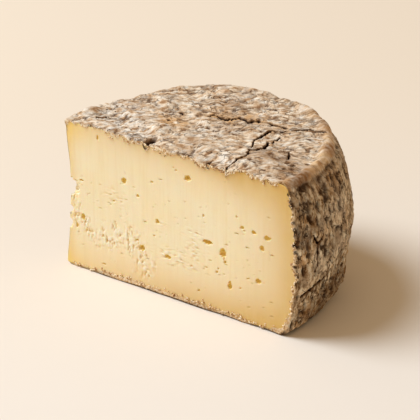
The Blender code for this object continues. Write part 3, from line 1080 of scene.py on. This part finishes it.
def scaled(tree, place, sizes):
    """Coordinates divided by a size along each axis, in the same unit."""
    scale = tuple(1 / size for size in sizes)
    return add(tree, "ShaderNodeMapping", {"Vector": place, "Scale": scale}).outputs[0]


def soft_noise(tree, place, detail=3.0, roughness=0.55, scale=1.0):
    inputs = {"Vector": place, "Scale": scale, "Detail": detail, "Roughness": roughness}
    return add(tree, "ShaderNodeTexNoise", inputs).outputs["Fac"]


def furrows(tree, place, sparse, cell_scale, line_width):
    """Thin broken furrows, small pits and a soft flow, in coordinates that are already stretched."""
    flow = soft_noise(tree, place, 2.5, 0.58)
    breaks = stretch(tree, soft_noise(tree, place, 1.0, 0.5, 0.45), 0.42, 0.6, 0.15, 1.0)
    inputs = {"Vector": place, "Scale": 0.8, "Detail": 2.0, "Distortion": 0.7}
    long_run = add(tree, "ShaderNodeTexNoise", inputs).outputs["Fac"]
    off_line = maths(tree, "ABSOLUTE", maths(tree, "SUBTRACT", long_run, 0.5))
    lines = maths(tree, "MULTIPLY", stretch(tree, off_line, line_width / 4, line_width, 1.0, 0.0), breaks)
    cells = add(tree, "ShaderNodeTexVoronoi", {"Vector": place, "Scale": cell_scale, "Randomness": 1.0})
    draw = add(tree, "ShaderNodeSeparateColor", {0: cells.outputs["Color"]}).outputs[0]
    chosen = stretch(tree, draw, sparse, sparse + 0.2)
    ragged = maths(tree, "ADD", cells.outputs["Distance"], maths(tree, "MULTIPLY", flow, 0.3))
    pits = maths(tree, "MULTIPLY", stretch(tree, ragged, 0.26, 0.38, 1.0, 0.0), chosen)
    return flow, lines, pits


def rind_finish(speckles):
    """Dry grey-beige top, dark pitted brown side and the crumbly tan of the cut lip, with painted shade in
    the hollows, cracks, pits and along the foot.
    """
    finish, tree, shader, place = new_finish("dry_rind", Specular_IOR_Level=0.15)
    top, hollow, crack, bloom, shade, ochre, lip, pale, rolled, foot = (
        mask(tree, name) for name in RIND_MASKS)
    level = scaled(tree, mask(tree, "run", "Vector"), WRINKLE_SIZES)
    upright = scaled(tree, mask(tree, "rise", "Vector"), RIB_SIZES)
    wide = soft_noise(tree, place, 2.0, 0.5, 55.0)
    patchy = soft_noise(tree, place, 3.0, 0.6, 130.0)
    soft, specks = speckle(tree, speckles, place, 1.5, 0.62)
    fine, dots = speckle(tree, speckles, place, 0.7, 0.64)

    flow, lines, pits = furrows(tree, level, 0.5, 2.1, 0.05)
    top_colour = ramp(
        tree, weighed(tree, (flow, 0.6), (patchy, 0.25), (soft, 0.15)), (0.39, 176, 134, 96),
        (0.45, 220, 186, 150), (0.52, 245, 221, 191), (0.59, 255, 244, 226))
    white = maths(tree, "MULTIPLY", bloom, stretch(tree, flow, 0.4, 0.56))
    # Patchy, brown, bloom and ochre tones are the rind's own colour; darkening the fine furrows' lines and
    # pits is painted shade.
    top_colour = layered(
        tree, top_colour, (stretch(tree, patchy, 0.48, 0.7), 0.55, (192, 152, 114)),
        (shade, 0.6, (168, 128, 90)), (white, 0.65, (252, 240, 224)),
        (ochre, 0.75, (214, 162, 102)), (lines, 0.65, (98, 64, 36)),
        (pits, 0.9, (60, 36, 18)))

    run, grooves, holes = furrows(tree, upright, 0.35, 1.6, 0.045)
    side_colour = ramp(
        tree, weighed(tree, (run, 0.65), (soft, 0.35)), (0.38, 114, 78, 40), (0.45, 186, 153, 114),
        (0.52, 230, 202, 164), (0.6, 255, 240, 212))
    # The side's grooves and holes are darkened as painted shade; its other tones are its own colour.
    side_colour = layered(
        tree, side_colour, (stretch(tree, wide, 0.5, 0.66), 0.5, (206, 154, 94)),
        (stretch(tree, patchy, 0.54, 0.66), 0.4, (118, 80, 42)), (bloom, 0.45, (248, 232, 208)),
        (shade, 0.6, (104, 70, 38)), (grooves, 0.8, (58, 34, 14)), (holes, 0.95, (34, 18, 6)))

    colour = mixed(tree, top, side_colour, top_colour)
    rubbed = maths(tree, "MULTIPLY", rolled, stretch(tree, flow, 0.36, 0.6, 0.95, 0.65))
    worn = ramp(tree, wide, (0.4, 134, 90, 50), (0.5, 188, 140, 92), (0.6, 226, 188, 142))
    colour = mixed(tree, rubbed, colour, worn)
    # Painted shade: the rind's hollows, folds, pits and grooves, and its lowest strip by the floor, are
    # darkened, more on the side than on the top.
    dark = maths(tree, "MULTIPLY", hollow, stretch(tree, top, 0.0, 1.0, 0.9, 0.78))
    colour = mixed(tree, dark, colour, mixed(tree, top, tone(50, 26, 2), tone(84, 50, 25)))
    # Specks and dots are the rind's grain and the brown border round cracks is the rind's colour; the
    # near-black inside of cracks, pits and the pressed scoop is painted shade.
    colour = layered(
        tree, colour, (specks, 0.3, (112, 82, 58)), (dots, 0.25, (246, 230, 208)),
        (stretch(tree, crack, 0.0, 0.12), 0.7, (128, 88, 52)),
        (stretch(tree, crack, 0.1, 0.45), 1, (44, 23, 8)))
    cut_rind = ramp(tree, soft, (0.36, 200, 154, 104), (0.46, 238, 204, 158), (0.56, 255, 240, 212))
    cut_rind = mixed(tree, stretch(tree, top, 0.0, 1.0, 0.45, 0.0), cut_rind, tone(206, 160, 102))
    # Painted shade: where the skin beside it is darkened as hollow, mostly along the foot, the cut lip's
    # first rows keep the skin's dark colour.
    brown_edge = stretch(tree, hollow, 0.2, 1.0, 0.03, 0.2)
    brown_edge = maths(tree, "MULTIPLY", brown_edge, maths(tree, "SUBTRACT", 1.0, top))
    from_skin = maths(tree, "SUBTRACT", lip, brown_edge)
    colour = mixed(tree, stretch(tree, from_skin, 0.02, 0.24), colour, cut_rind)
    # Painted contact shade: a dark brown line along the foot, broken up by the grain.
    foot_shade = maths(tree, "MULTIPLY", foot, stretch(tree, soft, 0.36, 0.6, 1.0, 0.6))
    colour = layered(tree, colour, (foot_shade, 1, (62, 30, 4)), (pale, 0.9, (248, 222, 172)))

    side_carving, top_carving = maths(tree, "MAXIMUM", grooves, holes), maths(tree, "MAXIMUM", lines, pits)
    carved = add(tree, "ShaderNodeMix", {0: top, 2: side_carving, 3: top_carving}).outputs[0]
    heights = weighed(tree, (soft, 0.6), (fine, 0.4), (carved, -0.5))
    dress(tree, shader, colour, stretch(tree, soft, 0.35, 0.65, 0.78, 0.95), heights, 0.9, 0.0012)
    return finish


def paste_finish(speckles):
    """Pale cream-yellow paste, amber towards the rind, streaked by the knife; golden painted shade in its
    eyes and torn gaps, and painted highlights on torn ridges.
    """
    finish, tree, shader, place = new_finish(
        "cut_paste", Subsurface_Weight=0.3, Subsurface_Radius=(1.0, 0.6, 0.25), Subsurface_Scale=0.002,
        Specular_IOR_Level=0.35)
    eye, tear, ridge, skin, glow, tint = (mask(tree, name) for name in PASTE_MASKS)
    wide = soft_noise(tree, place, 3.0, 0.5, 38.0)
    soft, specks = speckle(tree, speckles, place, 1.2, 0.68)
    streaks = soft_noise(tree, scaled(tree, place, STREAK_SIZES), 4.0, 0.6)

    colour = mixed(tree, stretch(tree, wide, 0.3, 0.7), tone(255, 236, 196), tone(255, 240, 206))
    amber = maths(tree, "MULTIPLY", skin, stretch(tree, wide, 0.2, 0.8, 0.85, 1.15), True)
    # Amber, yellow corner, streak, tint and speck tones are the paste's own colour; the near-white tone is
    # painted highlight on torn ridges, the golden tear tone painted shade in torn gaps, and the eye tone
    # painted shade, deeper golden the deeper the eye.
    colour = layered(
        tree, colour, (amber, 1, (218, 176, 88)), (glow, 0.85, (253, 214, 122)),
        (stretch(tree, streaks, 0.42, 0.75), 0.16, (236, 208, 150)),
        (stretch(tree, tint, 0.45, 0.85), 0.14, (236, 208, 152)), (ridge, 0.85, (255, 250, 230)),
        (tear, 0.8, (226, 184, 98)), (stretch(tree, eye, 0.03, 0.6), 1, (240, 208, 118)),
        (specks, 0.2, (218, 174, 104)))
    heights = weighed(tree, (soft, 0.7), (streaks, 0.3))
    dress(tree, shader, colour, stretch(tree, streaks, 0.3, 0.7, 0.42, 0.6), heights, 0.3, 0.0006)
    return finish


def crumb_finish(speckles):
    """Crumbs of rind and paste, from tan to cream."""
    finish, tree, shader, place = new_finish("rind_crumb", Specular_IOR_Level=0.3)
    patches = soft_noise(tree, place, 2.0, 0.5, 520.0)
    soft, specks = speckle(tree, speckles, place, 0.5, 0.62)
    colour = ramp(tree, patches, (0.38, 176, 130, 84), (0.48, 226, 188, 138), (0.58, 248, 228, 194))
    colour = layered(tree, colour, (specks, 0.35, (170, 126, 84)))
    dress(tree, shader, colour, stretch(tree, soft, 0.35, 0.65, 0.7, 0.9), soft, 0.5, 0.0004)
    return finish


def floor_finish(speckles):
    """Plain pale studio floor, a little warmer at the back right than at the front left: painted light,
    lighter and cooler at the front left.
    """
    finish, tree, shader, place = new_finish("pale_floor", Specular_IOR_Level=0.1)
    soft = speckle(tree, speckles, place, 40.0)[0]
    to_back = add(tree, "ShaderNodeMapping", {"Vector": place, "Rotation": (0, 0, FLOOR_TURN)}).outputs[0]
    to_back = add(tree, "ShaderNodeSeparateXYZ", {0: to_back}).outputs["Y"]
    # Painted light: lighter and cooler at the front left, warmer at the back right.
    colour = mixed(tree, stretch(tree, to_back, -0.35, 0.35), tone(237, 226, 214), tone(233, 216, 195))
    colour = layered(tree, colour, (soft, 0.1, (226, 208, 188)))
    tree.links.new(colour, shader.inputs["Base Color"])
    tree.links.new(stretch(tree, soft, 0.3, 0.7, 0.85, 0.95), shader.inputs["Roughness"])
    return finish


# The studio, in metres: a wide floor, the camera's place and aim, and one soft lamp from the picture's left
FLOOR_HALF = 5.0
CAMERA_AT = Vector((0.9259, -1.2706, 0.7829))
CAMERA_AIM = Vector((0.0194, -0.0410, 0.0618))
FOCAL_PIXELS = 2600
PICTURE_PIXELS = 420
SENSOR = 36
LAMP_AT = Vector((-1.63, -0.9, 2.6))
LAMP_AIM = Vector((0, 0, 0.05))
LAMP_SIZE = 1.75
LAMP_WATTS = 115
LAMP_COLOUR = (0.74, 0.862, 1.0)
FILL_COLOUR = (1.0, 0.77, 0.5, 1)
FILL_STRENGTH = 0.47


def studio_floor(finish):
    bm = bmesh.new()
    bmesh.ops.create_grid(bm, x_segments=1, y_segments=1, size=FLOOR_HALF)
    mesh = bpy.data.meshes.new("floor")
    bm.to_mesh(mesh)
    bm.free()
    mesh.materials.append(finish)
    placed("floor", mesh)


def facing(at, aim):
    """Turn of a camera or lamp at one place that looks at another."""
    return (aim - at).to_track_quat("-Z", "Y").to_euler()


def studio_camera():
    lens = bpy.data.cameras.new("camera")
    lens.sensor_width = SENSOR
    lens.lens = SENSOR * FOCAL_PIXELS / PICTURE_PIXELS
    lens.clip_end = 20
    camera = placed("camera", lens)
    camera.location = CAMERA_AT
    camera.rotation_euler = facing(CAMERA_AT, CAMERA_AIM)
    bpy.context.scene.camera = camera


def studio_light():
    """One soft lamp from the picture's left and a warm, even fill."""
    light = bpy.data.lights.new("key_lamp", "AREA")
    light.shape = "DISK"
    light.size = LAMP_SIZE
    light.energy = LAMP_WATTS
    light.color = LAMP_COLOUR
    lamp = placed("key_lamp", light)
    lamp.location = LAMP_AT
    lamp.rotation_euler = facing(LAMP_AT, LAMP_AIM)
    world = bpy.data.worlds.new("fill")
    world.use_nodes = True
    sky = world.node_tree.nodes["Background"]
    sky.inputs["Color"].default_value = FILL_COLOUR
    sky.inputs["Strength"].default_value = FILL_STRENGTH
    bpy.context.scene.world = world
    bpy.context.scene.view_settings.view_transform = "Standard"


def main():
    speckles = speckle_group()
    rind = shown("rind", craggy_rind(), rind_finish(speckles))
    paste = shown("paste", cut_paste(), paste_finish(speckles))
    bits = shown("crumbs", crumbs(), crumb_finish(speckles))
    for piece in (rind, paste, bits):
        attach(piece, "root")
    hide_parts("cheese")
    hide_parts("cheese")
    studio_floor(floor_finish(speckles))
    studio_camera()
    studio_light()


main()
